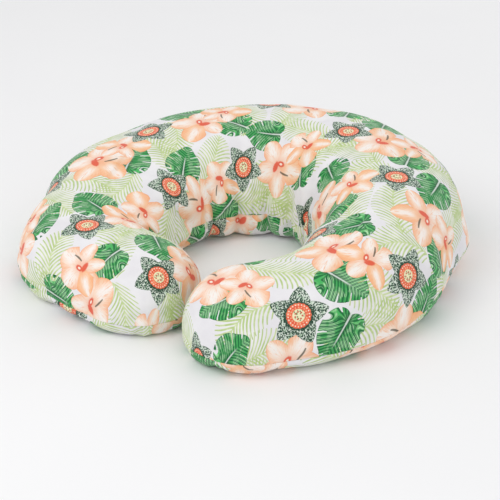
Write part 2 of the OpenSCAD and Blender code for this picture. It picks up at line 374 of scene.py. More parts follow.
# Gathers at the inner seam: place along the middle line (as t), slant, depth, reach over the
# surface, and width
GATHERS = (
    (-0.96, -0.30, 0.0130, 0.060, 0.0055),
    (-0.62, 0.05, 0.0105, 0.065, 0.0050),
    (-0.30, -0.08, 0.0125, 0.060, 0.0050),
    (0.03, 0.06, 0.0105, 0.070, 0.0048),
    (0.35, -0.05, 0.0125, 0.058, 0.0052),
    (0.66, 0.12, 0.0110, 0.075, 0.0052),
    (0.93, 0.32, 0.0175, 0.125, 0.0058),
    (-1.33, -0.2, 0.0045, 0.050, 0.0060),
    (1.27, 0.25, 0.0050, 0.055, 0.0060),
    (-0.80, 0.10, 0.0030, 0.048, 0.0024),
    (-0.47, -0.12, 0.0026, 0.040, 0.0022),
    (-0.14, 0.14, 0.0028, 0.044, 0.0022),
    (0.19, 0.02, 0.0024, 0.036, 0.0022),
    (0.51, -0.14, 0.0028, 0.046, 0.0024),
    (0.80, 0.20, 0.0034, 0.060, 0.0026),
    (1.08, 0.30, 0.0034, 0.062, 0.0030),
    (-1.10, -0.26, 0.0032, 0.050, 0.0028),
)
INNER_R = BACK_R - BACK_HALF
PUCKER = 0.0009


def gathers(g):
    """Inward push of the gathers at each point of a panel grid."""
    t, v = along(g["S"], _t), from_seam(g)
    inner = g["cols"][None, :] < 0
    along_inner = t * math.pi / 2 * INNER_R
    out = np.zeros(t.shape)
    for place, slant, depth, reach, width in GATHERS:
        centre = place * math.pi / 2 * INNER_R + slant * v
        w = width + 0.12 * v
        off = np.abs(along_inner - centre) / w
        out += depth * np.exp(-off ** 1.35) * np.exp(-(v / reach) ** 2)
    swell = 0.0036 * np.exp(-(v / 0.05) ** 2) * ease((1.2 - np.abs(t)) / 0.4)
    # Faint puckers of the outer seam, away from the zip and the label
    ripple = np.sin(g["S"] * 410 + 1.7 * np.sin(g["S"] * 67)) * np.sin(g["S"] * 31 + 0.8)
    pucker = PUCKER * ripple * np.exp(-(v / 0.016) ** 2) * ease((np.abs(t) - 0.70) / 0.12)
    return np.where(inner, swell - out, pucker)


# Soft dents of the outline: t, distance from the outer seam, depth, radius
DENTS = (
    (-1.66, 0.000, 0.0065, 0.034),
    (-1.42, 0.003, -0.0020, 0.035),
    (-1.27, 0.002, -0.0040, 0.028),
    (-0.98, 0.080, -0.0090, 0.075),
    (0.82, 0.000, -0.0060, 0.026),
)


def dents(g):
    """Inward push of the dents at each point of a panel grid."""
    v = from_seam(g)
    out = np.zeros(v.shape)
    for place, away, depth, radius in DENTS:
        ds = (g["S"] - np.interp(place, _t, _s)) * 1.2
        out -= depth * np.exp(-(ds * ds + (v - away) ** 2) / radius ** 2)
    return np.where(g["cols"][None, :] > 0, out, 0)


def resample(old, new, values, axis):
    """Cubic interpolation of values from positions old to new along an axis."""
    v = np.moveaxis(values, axis, 0)
    return np.moveaxis(cubic(old, v, np.gradient(v, old, axis=0), new), 0, axis)


SIM_MAIN, SIM_STEP = 26, 0.0075
SIM_SIDE, SIM_RISE = 0.0005, 0.002
SIM_CAP = 0.006
SIM_FRAMES = 20
PRESSURE = 4


def grid_faces(rows, cols, up, index=None):
    """Quads of a grid of points, facing up or down; index renumbers the points."""
    r, c = np.meshgrid(np.arange(rows - 1), np.arange(cols - 1), indexing="ij")
    a = (r * cols + c).ravel()
    quads = np.stack([a, a + 1, a + cols + 1, a + cols], 1)
    if up:
        quads = quads[:, ::-1]
    return quads if index is None else index[quads]


def rim_faces(rows, cols):
    """Quads that close the border between a grid and the same grid numbered on behind it."""
    count = rows * cols
    ring = np.concatenate([
        np.arange(cols), np.arange(1, rows) * cols + cols - 1,
        (rows - 1) * cols + np.arange(cols - 2, -1, -1), np.arange(rows - 2, 0, -1) * cols])
    following = np.roll(ring, -1)
    return np.stack([ring, following, following + count, ring + count], 1)


def sewn_numbers(shared):
    """Point numbers of an upper and a lower grid that have the points marked in shared in common."""
    upper = np.arange(shared.size).reshape(shared.shape)
    lower = upper.copy()
    lower[~shared] = shared.size + np.arange((~shared).sum())
    return upper, lower


def simulate():
    """Inflates the sewn cover as cloth with its seam held, and returns how far the points of the
    top and bottom grids moved."""
    grids = [panel(up, SIM_MAIN, SIM_STEP, False, SIM_SIDE, SIM_RISE, True) for up in (True, False)]
    rows, cols = grids[0]["P"].shape[:2]
    border = np.zeros((rows, cols), bool)
    border[[0, -1], :] = border[:, [0, -1]] = True
    number, lower = sewn_numbers(border)
    verts = np.concatenate([grids[0]["P"].reshape(-1, 3), grids[1]["P"][~border]])
    faces = np.concatenate([
        grid_faces(rows, cols, True), grid_faces(rows, cols, False, lower.ravel())])
    mesh = bpy.data.meshes.new("sim")
    mesh.from_pydata(verts.tolist(), [], faces.tolist())
    ob = bpy.data.objects.new("sim", mesh)
    scene.collection.objects.link(ob)
    pin = ob.vertex_groups.new(name="pin")
    pin.add(number[border].tolist(), 1.0, "REPLACE")
    loose = ob.vertex_groups.new(name="loose")
    for g, ids in zip(grids, (number, lower)):
        v = from_seam(g)
        inner = g["cols"][None, :] < 0
        spare = np.where(inner, np.exp(-(v / 0.05) ** 2), 0.25 * np.exp(-(v / 0.04) ** 2))
        spare = spare * (0.35 + 0.65 * ease((1.3 - np.abs(along(g["S"], _t))) / 0.5))
        for i, share in zip(ids.ravel(), spare.ravel()):
            if share > 0.02:
                loose.add([int(i)], float(share), "REPLACE")
    cloth = ob.modifiers.new("Cloth", "CLOTH")
    st = cloth.settings
    st.quality = 5
    st.mass = 0.3
    st.tension_stiffness = st.compression_stiffness = 15
    st.shear_stiffness = 5
    st.bending_stiffness = 0.4
    st.vertex_group_mass = "pin"
    st.use_pressure = True
    st.uniform_pressure_force = PRESSURE
    st.vertex_group_shrink = "loose"
    st.shrink_min = 0.0
    st.shrink_max = -0.14
    st.effector_weights.gravity = 0
    cloth.collision_settings.use_collision = False
    cloth.collision_settings.use_self_collision = False
    cloth.point_cache.frame_start, cloth.point_cache.frame_end = 1, SIM_FRAMES
    for frame_number in range(1, SIM_FRAMES + 1):
        scene.frame_set(frame_number)
    dg = bpy.context.evaluated_depsgraph_get()
    done = ob.evaluated_get(dg).to_mesh()
    co = np.zeros(len(verts) * 3)
    done.vertices.foreach_get("co", co)
    co = co.reshape(-1, 3)
    bpy.data.objects.remove(ob)
    scene.frame_set(1)
    moved = co - verts
    length = np.linalg.norm(moved, axis=1, keepdims=True)
    moved *= np.minimum(1, SIM_CAP / np.maximum(length, 1e-9))
    return grids, [moved[number], moved[lower]]


sim = simulate()


def carried(g, field):
    """The field with its values beyond the seam taken from the nearest point of the seam, so that
    the rolled edge and the allowance move with the seam."""
    n_half, main = g["n_half"], g["main"]
    rows, cols = field.shape[:2]
    row, col = np.meshgrid(np.arange(rows), np.arange(cols), indexing="ij")
    beyond = np.where(row < n_half, row - n_half, np.maximum(row - (rows - 1 - n_half), 0))
    across = col - n_half
    share = np.minimum(1, main / np.maximum(np.maximum(np.abs(beyond), np.abs(across)), 1))
    fr, fc = row - beyond * (1 - share), col - across * (1 - share)
    i, j = np.minimum(fr.astype(int), rows - 2), np.minimum(fc.astype(int), cols - 2)
    u, v = (fr - i)[..., None], (fc - j)[..., None]
    return ((1 - u) * (1 - v) * field[i, j] + (1 - u) * v * field[i, j + 1]
            + u * (1 - v) * field[i + 1, j] + u * v * field[i + 1, j + 1])


def soften(g, low=0.0002):
    """Moves a panel grid by the simulated movement, the gathers, the dents and the lumps, and lays
    it flat where it would sink below low."""
    P = g["P"]
    held = hold(g)
    push = gathers(g) * (0.62 + 0.38 * held) + dents(g)
    push = push + (wave_sum(P, LUMPS) + wave_sum(P, SMALL_LUMPS)) * held
    near = (1 - held)[..., None]
    # Close to the seam everything moves sideways together, so that both panels still meet
    way = grid_normals(P, g["up"]) * (1 - near) + g["O"] * near
    move = push[..., None] * way
    if sim:
        grids, moves = sim
        old, D = (grids[0], moves[0]) if g["up"] else (grids[1], moves[1])
        D = resample(old["rows"], g["rows"], D, 0)
        D = resample(old["cols"], np.clip(g["cols"], -1, 1), D, 1)
        move = move + D * held[..., None]
    P = P + carried(g, move)
    P[..., 2] = np.maximum(P[..., 2], low)
    return P


KEEP_PASSES = 10


def kept_inside(P, outer, gap):
    """Moves the points of P that lie less than gap below the face of the outer grids further in."""
    skin = []
    for g, face in outer:
        on = np.abs(g["Q"]) <= 1
        skin.append((face[on], grid_normals(face, g["up"])[on]))
    at, out = (np.concatenate(part) for part in zip(*skin))
    tree = KDTree(len(at))
    for i, point in enumerate(at):
        tree.insert(point, i)
    tree.balance()
    points = P.reshape(-1, 3).copy()
    for _ in range(KEEP_PASSES):
        near = np.array([tree.find(point)[1] for point in points])
        room = -((points - at[near]) * out[near]).sum(1)
        points -= np.maximum(gap - room, 0)[:, None] * out[near]
    return points.reshape(P.shape)


# ---------------------------------------------------------------- node graphs

class Val:
    """A number or colour socket in a node graph; arithmetic on it adds Math nodes."""

    def __init__(self, graph, socket):
        self.graph, self.socket = graph, socket

    def __add__(self, o):
        return self.graph.math("ADD", self, o)

    __radd__ = __add__

    def __sub__(self, o):
        return self.graph.math("SUBTRACT", self, o)

    def __rsub__(self, o):
        return self.graph.math("SUBTRACT", o, self)

    def __mul__(self, o):
        return self.graph.math("MULTIPLY", self, o)

    __rmul__ = __mul__

    def __truediv__(self, o):
        return self.graph.math("DIVIDE", self, o)


class Graph:
    """A material's node tree, written as expressions."""

    def __init__(self, name):
        self.material = bpy.data.materials.new(name)
        self.material.use_nodes = True
        self.tree = self.material.node_tree
        self.shader = self.tree.nodes["Principled BSDF"]

    def put(self, socket, value):
        if isinstance(value, Val):
            self.tree.links.new(value.socket, socket)
        elif value is not None:
            socket.default_value = value

    def node(self, kind, **settings):
        n = self.tree.nodes.new(kind)
        for k, v in settings.items():
            setattr(n, k, v)
        return n

    def math(self, op, a, b=None):
        n = self.node("ShaderNodeMath", operation=op)
        for socket, value in zip(n.inputs, (a, b)):
            self.put(socket, value)
        return Val(self, n.outputs[0])

    def smooth(self, x, low, high):
        """0 below low and 1 above high, eased; low may be the larger for a falling step."""
        n = self.node("ShaderNodeMapRange", interpolation_type="SMOOTHSTEP")
        self.put(n.inputs["Value"], x)
        self.put(n.inputs["From Min"], low)
        self.put(n.inputs["From Max"], high)
        return Val(self, n.outputs[0])

    def join(self, x, y, z=0.0):
        n = self.node("ShaderNodeCombineXYZ")
        for socket, value in zip(n.inputs, (x, y, z)):
            self.put(socket, value)
        return Val(self, n.outputs[0])

    def split(self, vector):
        n = self.node("ShaderNodeSeparateXYZ")
        self.put(n.inputs[0], vector)
        return [Val(self, s) for s in n.outputs]

    def noise(self, vector, scale, detail=2.0, rough=0.5, warp=0.0):
        n = self.node("ShaderNodeTexNoise")
        for key, value in (("Vector", vector), ("Scale", scale), ("Detail", detail),
                           ("Roughness", rough), ("Distortion", warp)):
            self.put(n.inputs[key], value)
        return Val(self, n.outputs[0])

    def cells(self, vector, scale, feature="F1"):
        n = self.node("ShaderNodeTexVoronoi", feature=feature)
        self.put(n.inputs["Vector"], vector)
        self.put(n.inputs["Scale"], scale)
        return Val(self, n.outputs["Distance"])

    def chance(self, x, y, z):
        """Three random numbers for the cell x, y, z."""
        n = self.node("ShaderNodeTexWhiteNoise")
        self.put(n.inputs["Vector"], self.join(x, y, z))
        return self.split(Val(self, n.outputs["Color"]))

    def mix(self, share, a, b):
        n = self.node("ShaderNodeMix", data_type="RGBA")
        self.put(n.inputs[0], share)
        self.put(n.inputs[6], a)
        self.put(n.inputs[7], b)
        return Val(self, n.outputs[2])

    def attribute(self, name):
        n = self.node("ShaderNodeAttribute", attribute_name=name)
        return Val(self, n.outputs["Vector"])

    def place(self):
        return Val(self, self.node("ShaderNodeTexCoord").outputs["Object"])

    def bump(self, height, distance, strength=1.0):
        n = self.node("ShaderNodeBump")
        self.put(n.inputs["Strength"], strength)
        self.put(n.inputs["Distance"], distance)
        self.put(n.inputs["Height"], height)
        self.tree.links.new(n.outputs[0], self.shader.inputs["Normal"])

    def finish(self, **inputs):
        for key, value in inputs.items():
            self.put(self.shader.inputs[key.replace("_", " ")], value)
        return self.material


def rgb(r, g, b):
    """A colour given as it looks on screen, 0 to 255, as linear values."""
    return tuple(((v / 255 + 0.055) / 1.055) ** 2.4 if v > 10 else v / 3294.6 for v in (r, g, b)) + (1.0,)


# ---------------------------------------------------------------- printed cotton

REPEAT = 0.156


def spot(g, x, y, fx, fy, jitter, seed):
    """Coordinates about the nearest motif of a half-drop repeat, moved and turned at random."""
    gx = x / REPEAT - fx
    col = g.math("FLOOR", gx)
    gy = y / REPEAT - fy + g.math("FRACT", col * 0.5)
    row = g.math("FLOOR", gy)
    r1, r2, r3 = g.chance(col, row, seed)
    u = (gx - col - 0.5 - (r1 - 0.5) * (2 * jitter)) * REPEAT
    v = (gy - row - 0.5 - (r2 - 0.5) * (2 * jitter)) * REPEAT
    angle = r3 * (2 * math.pi)
    c, s = g.math("COSINE", angle), g.math("SINE", angle)
    return u * c + v * s, v * c - u * s, r1, r2


def polar(g, u, v):
    """Distance from the motif's centre, and angle."""
    r = g.math("SQRT", u * u + v * v)
    return r, g.math("ARCTAN2", u, v)


def palm(g, x, y, seed, fx, fy, colour):
    """A pale frond: leaflets that lean forward along a curved rib."""
    u, v, r1, _ = spot(g, x, y, fx, fy, 0.06, seed)
    length, width = 0.052, 0.030
    u = u + v * v * 7.0 * (r1 - 0.5) * 2
    side = g.math("ABSOLUTE", u)
    t = v / length
    room = 1 - t * t
    reach = g.math("POWER", g.math("MAXIMUM", room, 0.0), 0.55) * width
    out = side / g.math("MAXIMUM", reach, 0.0005)
    wobble = g.noise(g.join(u, v, seed), 60, 1.0) * 0.7
    phase = (v - side * 1.25 + side * side * 17) * (2 * math.pi / 0.0064) + wobble * 2.2
    ridge = g.math("SINE", phase)
    mask = g.smooth(ridge, out * 1.25 - 0.85, out * 1.25 - 0.25)
    mask = mask * g.math("LESS_THAN", out, 1.0) * g.math("GREATER_THAN", room, 0.0)
    rib = g.smooth(side, 0.0011, 0.0006) * g.math("GREATER_THAN", room, 0.0)
    mask = g.math("MAXIMUM", mask, rib)
    tone = g.noise(g.join(u, v, seed + 3.0), 75, 2.0)
    light = g.mix(g.smooth(tone, 0.38, 0.66), rgb(184, 206, 130), rgb(219, 229, 182))
    light = g.mix(g.smooth(ridge, 0.70, 1.0) * 0.55, light, rgb(158, 184, 104))
    return g.mix(mask * 0.92, colour, light)


def leaf(g, x, y, seed, fx, fy, colour, size=0.035):
    """A broad split leaf with a white midrib, dark veins and pale streaks."""
    u, v, r1, r2 = spot(g, x, y, fx, fy, 0.06, seed)
    u = u + v * v * 5.0 * (r1 - 0.5)
    v = v + size * 0.42
    u, v = u / (size * 0.86), v / size
    rho, phi = polar(g, u, v)
    side = g.math("ABSOLUTE", u)
    swing = g.math("ABSOLUTE", phi)
    heart = g.math("POWER", g.math("MAXIMUM", g.math("COSINE", swing * 0.5), 0.0), 1.35)
    heart = heart * 1.10 + 0.26 + g.smooth(swing, 0.42, 0.0) * 0.24
    # Side veins run forward from the midrib; in the lobes behind the stem they fan out
    wobble = g.noise(g.join(u, v, seed), 1.7, 1.5) * 0.17
    fan = g.smooth(v, 0.25, -0.25)
    vein = v - side * 0.75 + side * side * 0.25 + wobble
    fanned = swing * -0.42 + 0.62 + wobble
    vein = vein + (fanned - vein) * fan
    notch_wave = g.math("SINE", vein * (2 * math.pi * 2.1) + r2 * 6.0)
    notch = g.smooth(notch_wave, 0.90, 0.99) * 0.34 * g.smooth(side, 0.10, 0.30)
    edge = heart * (1 - notch) - rho
    mask = g.math("GREATER_THAN", edge, 0.0)
    stripe = g.math("SINE", vein * (2 * math.pi * 7.0))
    fine = g.math("SINE", vein * (2 * math.pi * 17.0) + 1.0)
    tone = g.noise(g.join(u, v, seed + 5.0), 2.6, 2.0)
    green = g.mix(g.smooth(stripe, -0.7, 0.7), rgb(20, 116, 58), rgb(70, 180, 94))
    bright = g.smooth(tone, 0.36, 0.60) * g.smooth(stripe, -0.2, 0.9)
    green = g.mix(bright * 0.80, green, rgb(150, 214, 146))
    pale = g.smooth(fine, 0.55, 1.0) * g.smooth(tone, 0.44, 0.58)
    green = g.mix(pale * 0.75, green, rgb(214, 238, 212))
    green = g.mix(g.smooth(fine, -0.55, -1.0) * 0.80, green, rgb(20, 72, 48))
    shade = g.smooth(side, 0.24, 0.02) * g.smooth(rho, 1.15, 0.1)
    green = g.mix(shade * 0.70, green, rgb(26, 62, 46))
    green = g.mix(g.smooth(edge, 0.045, 0.010) * 0.55, green, rgb(30, 84, 58))
    rib = g.smooth(side, 0.046, 0.016) * g.math("GREATER_THAN", v, -0.42) * g.smooth(v, 1.05, 0.55)
    stem = g.smooth(side, 0.058, 0.026) * g.math("GREATER_THAN", v, -0.50) * g.math("LESS_THAN", v, 0.10)
    colour = g.mix(mask, colour, green)
    return g.mix(g.math("MAXIMUM", rib * mask, stem) * 0.85, colour, rgb(222, 232, 224))


def blossom(g, x, y, seed, fx, fy, colour, size=0.052):
    """A peach flower: five petals, white inside and orange at the edge, with a coral lip."""
    u, v, r1, r2 = spot(g, x, y, fx, fy, 0.05, seed)
    u, v = u / size, v / size
    rho, phi = polar(g, u, v)
    fifth = phi * (5 / (2 * math.pi)) + 10.5
    number = g.math("FLOOR", fifth)
    part = (fifth - number - 0.5) * (2 * math.pi / 5)
    q1, q2, _ = g.chance(number, r1, r2)
    p, q = rho * g.math("COSINE", part), rho * g.math("SINE", part)
    long = 0.78 + q1 * 0.26
    wide = 0.26 + q2 * 0.22
    a = (p - long * 0.5) / (long * 0.5)
    width = g.math("SQRT", g.math("MAXIMUM", 1 - a * a, 0.0)) * wide
    width = width + 0.001
    out = g.math("ABSOLUTE", q) / width
    ripple = g.noise(g.join(u, v, seed), 3.0, 1.0) * 0.30
    inside = 1.12 - out - ripple
    mask = g.math("GREATER_THAN", inside, 0.0) * g.math("LESS_THAN", p, long)
    streak = g.noise(g.join(part * 9.0, rho * 1.2, number + seed), 3.2, 2.0)
    deep = g.smooth(q1, 0.45, 0.95)
    rim = g.smooth(inside + (streak - 0.5) * 1.5, 0.58, 0.02)
    peach = g.mix(deep, rgb(250, 229, 213), rgb(250, 200, 158))
    glow = g.smooth(out + (streak - 0.5) * 0.8, 0.55, 0.05) * g.smooth(rho, 0.25, 0.50)
    peach = g.mix(glow * 0.85, peach, rgb(249, 244, 240))
    peach = g.mix(rim * 0.80, peach, rgb(248, 174, 124))
    peach = g.mix(g.smooth(streak, 0.55, 0.70) * 0.70, peach, rgb(245, 172, 122))
    peach = g.mix(g.smooth(rho, 0.40, 0.08) * 0.45, peach, rgb(238, 150, 104))
    peach = g.mix(g.smooth(inside, 0.085, 0.02) * 0.55, peach, rgb(234, 138, 88))
    colour = g.mix(mask * 0.96, colour, peach)
    lip_a = g.math("SQRT", (u - 0.05) * (u - 0.05) * 2.2 + (v + 0.12) * (v + 0.12) * 8.0)
    lip_b = g.math("SQRT", (u + 0.08) * (u + 0.08) * 9.0 + (v - 0.04) * (v - 0.04) * 3.0)
    lip = g.math("MINIMUM", lip_a, lip_b) + (streak - 0.5) * 0.20
    colour = g.mix(g.smooth(lip, 0.30, 0.20) * 0.92, colour, rgb(226, 84, 56))
    colour = g.mix(g.smooth(lip_b, 0.13, 0.07), colour, rgb(250, 232, 214))
    line = g.math("ABSOLUTE", u - v * 0.35 - 0.10 + v * v * 0.5)
    stalk = g.smooth(line + g.math("ABSOLUTE", v - 0.30) * 0.06, 0.045, 0.015)
    stalk = stalk * g.math("GREATER_THAN", v, 0.12) * g.math("LESS_THAN", v, 0.50)
    return g.mix(stalk * 0.85, colour, rgb(58, 62, 44))


def star(g, x, y, seed, fx, fy, colour, size=0.038):
    """A five-pointed stippled flower with a coral disc ringed by white dots."""
    u, v, _, _ = spot(g, x, y, fx, fy, 0.07, seed)
    u, v = u / size, v / size
    rho, phi = polar(g, u, v)
    fifth = phi * (5 / (2 * math.pi)) + 10.5
    part = (g.math("FRACT", fifth) - 0.5) * (2 * math.pi / 5)
    p = rho * g.math("COSINE", part)
    q = g.math("ABSOLUTE", rho * g.math("SINE", part))
    width = g.math("POWER", g.math("MAXIMUM", 1 - p, 0.0), 0.74) * 0.74
    width = width * g.math("POWER", g.math("MAXIMUM", p, 0.001), 0.35)
    inside = width - q
    mask = g.math("GREATER_THAN", inside, 0.0)
    at = g.join(u, v, seed)
    speck = g.cells(at, 24.0)
    squiggle = g.noise(at, 20.0, 1.0, 0.6, 0.6)
    ring = g.smooth(rho, 0.62, 0.44)
    spine = g.smooth(q, 0.10, 0.0) * 0.06
    level = 0.54 + ring * 0.12 + spine
    dark = g.smooth(speck - level + (squiggle - 0.5) * 1.1, 0.09, -0.07)
    stipple = g.mix(dark, rgb(216, 227, 214), rgb(36, 70, 52))
    tint = g.smooth(g.noise(at, 7.0, 1.0), 0.52, 0.66)
    stipple = g.mix(tint * (1 - dark) * 0.55, stipple, rgb(140, 186, 142))
    stipple = g.mix(g.smooth(inside, 0.030, 0.0) * 0.35, stipple, rgb(58, 88, 68))
    colour = g.mix(mask, colour, stipple)
    colour = g.mix(g.smooth(rho, 0.50, 0.43) * 0.85, colour, rgb(38, 72, 52))
    edge = rho + g.math("SINE", phi * 17.0) * 0.008
    disc = g.smooth(edge, 0.415, 0.395)
    grain = g.noise(at, 9.0, 1.0)
    coral = g.mix(g.smooth(grain, 0.4, 0.65), rgb(228, 92, 62), rgb(248, 136, 96))

    def dots(radius, count, dot):
        turn = phi * (count / (2 * math.pi)) + 100.0
        across = (g.math("FRACT", turn) - 0.5) * (2 * math.pi / count) * radius
        far = rho - radius
        return g.smooth(g.math("SQRT", across * across + far * far), dot, dot * 0.55)

    coral = g.mix(dots(0.345, 22, 0.030), coral, rgb(252, 226, 206))
    coral = g.mix(dots(0.265, 17, 0.026) * 0.8, coral, rgb(250, 196, 160))
    middle = g.smooth(rho, 0.225, 0.190)
    heart = g.mix(g.smooth(g.cells(at, 11.0), 0.34, 0.22), rgb(238, 232, 190), rgb(98, 124, 70))
    coral = g.mix(middle, coral, heart)
    coral = g.mix(dots(0.120, 7, 0.040) * 0.9, coral, rgb(196, 62, 48))
    return g.mix(disc, colour, coral)


def printed_cotton():
    """Plain-woven cotton with the print: fronds, leaves, blossoms and stars, each over the last."""
    g = Graph("printed_cotton")
    x, y, _ = g.split(g.attribute("cloth_at"))
    warp_at = g.join(x, y, 0.0)
    ground = g.mix(g.smooth(g.noise(warp_at, 25, 2.0), 0.35, 0.7), rgb(229, 227, 231), rgb(238, 237, 239))
    c = palm(g, x, y, 3.0, 0.52, 0.00, ground)
    c = palm(g, x, y, 17.0, 0.20, 0.84, c)
    c = palm(g, x, y, 29.0, 0.80, 0.72, c)
    c = leaf(g, x, y, 41.0, 0.46, 0.60, c)
    c = leaf(g, x, y, 53.0, 0.00, 0.70, c)
    c = blossom(g, x, y, 61.0, 0.66, 0.24, c)
    c = blossom(g, x, y, 73.0, 0.90, 0.46, c, 0.041)
    c = star(g, x, y, 89.0, 0.22, 0.26, c)
    # Plain weave: two crossed sets of yarns, fuzz, and slubs
    yarn = 2 * math.pi / 0.0008
    over = g.math("SINE", x * yarn) * g.math("SINE", y * yarn)
    fuzz = g.noise(warp_at, 900, 2.0)
    slub = g.noise(g.join(x * 0.15, y, 2.0), 700, 1.0)
    cloth = over * 0.35 + fuzz * 0.5 + slub * 0.4
    c = g.mix(g.smooth(cloth, 0.2, 0.9) * 0.05, c, rgb(150, 150, 155))
    creased = g.noise(warp_at, 55, 3.0, 0.55)
    g.bump(cloth * 0.00012 + creased * 0.0012, 1.0, 0.55)
    rough = 0.84 + (fuzz - 0.5) * 0.16
    return g.finish(Base_Color=c, Roughness=rough, Sheen_Weight=0.22, Sheen_Roughness=0.45,
                    Specular_IOR_Level=0.25)


# ---------------------------------------------------------------- other materials

def woven(name, light, dark, yarn):
    """Plain white cloth: crossed yarns, fuzz and a faint variation of the white."""
    g = Graph(name)
    x, y, _ = g.split(g.attribute("cloth_at"))
    at = g.join(x, y, 1.0)
    turn = 2 * math.pi / yarn
    over = g.math("SINE", x * turn) * g.math("SINE", y * turn)
    fuzz = g.noise(at, 800, 2.0)
    tone = g.noise(at, 30, 3.0)
    c = g.mix(g.smooth(tone, 0.3, 0.75), light, dark)
    c = g.mix(g.smooth(over * 0.4 + fuzz, 0.4, 1.0) * 0.12, c, dark)
    g.bump(over * 0.00014 + fuzz * 0.0001 + g.noise(at, 60, 2.0) * 0.0008, 1.0, 0.6)
    return g.finish(Base_Color=c, Roughness=0.85 + (fuzz - 0.5) * 0.14, Sheen_Weight=0.2)


def fluffy():
    """Loose fibre balls, 12 mm across, with fine strands, and painted shade in the hollows between the
    balls.
    """
    g = Graph("fibre")
    at = g.place()
    balls = g.cells(at, 80)
    strands = g.noise(at, 420, 4.0, 0.65, 1.2)
    # Painted shade: the white darkens towards the hollows between the balls, where the bump sinks
    c = g.mix(g.smooth(balls, 0.15, 0.75), rgb(246, 246, 246), rgb(214, 214, 216))
    c = g.mix(g.smooth(strands, 0.45, 0.7) * 0.25, c, rgb(196, 197, 200))
    g.bump(balls * -0.004 + strands * 0.0012, 1.0, 0.8)
    return g.finish(Base_Color=c, Roughness=0.92 + (strands - 0.5) * 0.1, Sheen_Weight=0.4)


def twisted():
    """Two-ply sewing thread; the plies turn round it, with painted shade in the grooves between them."""
    g = Graph("thread")
    along_it, round_it, _ = g.split(g.attribute("cloth_at"))
    ply = g.math("SINE", along_it * (2 * math.pi / 0.0011) + round_it * 2.0)
    lint = g.noise(g.place(), 1500, 2.0)
    # Painted shade: the white darkens in the grooves between the plies, where the bump sinks
    c = g.mix(g.smooth(ply, -0.9, 0.6), rgb(196, 196, 192), rgb(244, 244, 240))
    g.bump(ply * 0.00006 + lint * 0.00004, 1.0, 0.8)
    return g.finish(Base_Color=c, Roughness=0.5 + (lint - 0.5) * 0.3, Sheen_Weight=0.3)


def tape():
    """Zip tape: a fine twill that runs round the back."""
    g = Graph("zip_tape")
    x, y, z = g.split(g.place())
    run = g.math("ARCTAN2", x, y) * TAPE_R
    twill = g.math("SINE", (run + z) * (2 * math.pi / 0.0009))
    weft = g.math("SINE", z * (2 * math.pi / 0.0006))
    fuzz = g.noise(g.place(), 1400, 2.0)
    # Painted shade: the white darkens in the grooves of the twill and weft, where the bump sinks
    c = g.mix(g.smooth(twill * 0.7 + weft * 0.3, -0.8, 0.8), rgb(206, 205, 200), rgb(240, 239, 235))
    c = g.mix(g.smooth(g.noise(g.place(), 60, 2.0), 0.35, 0.75) * 0.3, c, rgb(222, 220, 214))
    g.bump(twill * 0.00008 + weft * 0.00003 + fuzz * 0.00006, 1.0, 0.7)
    return g.finish(Base_Color=c, Roughness=0.72 + (fuzz - 0.5) * 0.2, Sheen_Weight=0.15)


def moulded():
    """Moulded plastic of the zip's teeth and stops, rubbed matt in patches."""
    g = Graph("zip_teeth")
    at = g.place()
    grain = g.noise(at, 900, 3.0)
    rub = g.smooth(g.noise(at, 240, 2.0), 0.45, 0.65)
    c = g.mix(rub * 0.5, rgb(240, 239, 234), rgb(220, 218, 211))
    g.bump(grain * 0.00004, 1.0, 0.5)
    return g.finish(Base_Color=c, Roughness=0.30 + rub * 0.22, Specular_IOR_Level=0.5)


def nickel():
    """Satin nickel with fine brushing, small scratches and worn bright spots."""
    g = Graph("zip_metal")
    x, y, z = g.split(g.place())
    brushed = g.noise(g.join(x * 0.15, y * 0.15, z), 2600, 3.0)
    scratch = g.smooth(g.noise(g.join(x, y * 0.2, z * 1.5), 1800, 2.0, 0.6, 1.5), 0.64, 0.70)
    worn = g.smooth(g.noise(g.place(), 320, 3.0), 0.46, 0.66)
    c = g.mix(worn * 0.6, rgb(176, 176, 178), rgb(214, 214, 214))
    c = g.mix(scratch * 0.6, c, rgb(146, 145, 144))
    g.bump(brushed * 0.00003 - scratch * 0.00003, 1.0, 0.6)
    return g.finish(Base_Color=c, Metallic=0.95, Roughness=0.30 + brushed * 0.2 - worn * 0.08)


def satin():
    """Blank satin ribbon: lustrous floats along it with painted sheen where they rise, and a firm woven
    edge.
    """
    g = Graph("label")
    x, y, _ = g.split(g.attribute("cloth_at"))
    floats = g.math("SINE", x * (2 * math.pi / 0.00045))
    ties = g.noise(g.join(x * 2.0, y * 0.7, 0.0), 1100, 2.0)
    selvedge = g.smooth(g.math("ABSOLUTE", x), LABEL_W / 2 - 0.0016, LABEL_W / 2 - 0.0008)
    # Painted sheen: the white is lighter where the floats and ties rise in the bump
    c = g.mix(g.smooth(floats + ties, -0.6, 1.4), rgb(218, 218, 214), rgb(246, 246, 243))
    c = g.mix(selvedge * 0.5, c, rgb(228, 227, 222))
    g.bump(floats * 0.00003 + ties * 0.00005 + selvedge * 0.0001, 1.0, 0.6)
    return g.finish(Base_Color=c, Roughness=0.36 + (ties - 0.5) * 0.2 + selvedge * 0.2,
                    Sheen_Weight=0.25, Anisotropic=0.5)


def backdrop():
    """Matt seamless paper."""
    g = Graph("floor")
    at = g.place()
    fibre_marks = g.noise(at, 260, 3.0)
    c = g.mix(g.smooth(g.noise(at, 3, 2.0), 0.3, 0.7) * 0.3, rgb(244, 244, 245), rgb(240, 240, 242))
    g.bump(fibre_marks * 0.0002, 1.0, 0.25)
    return g.finish(Base_Color=c, Roughness=0.9)


# ---------------------------------------------------------------- meshes

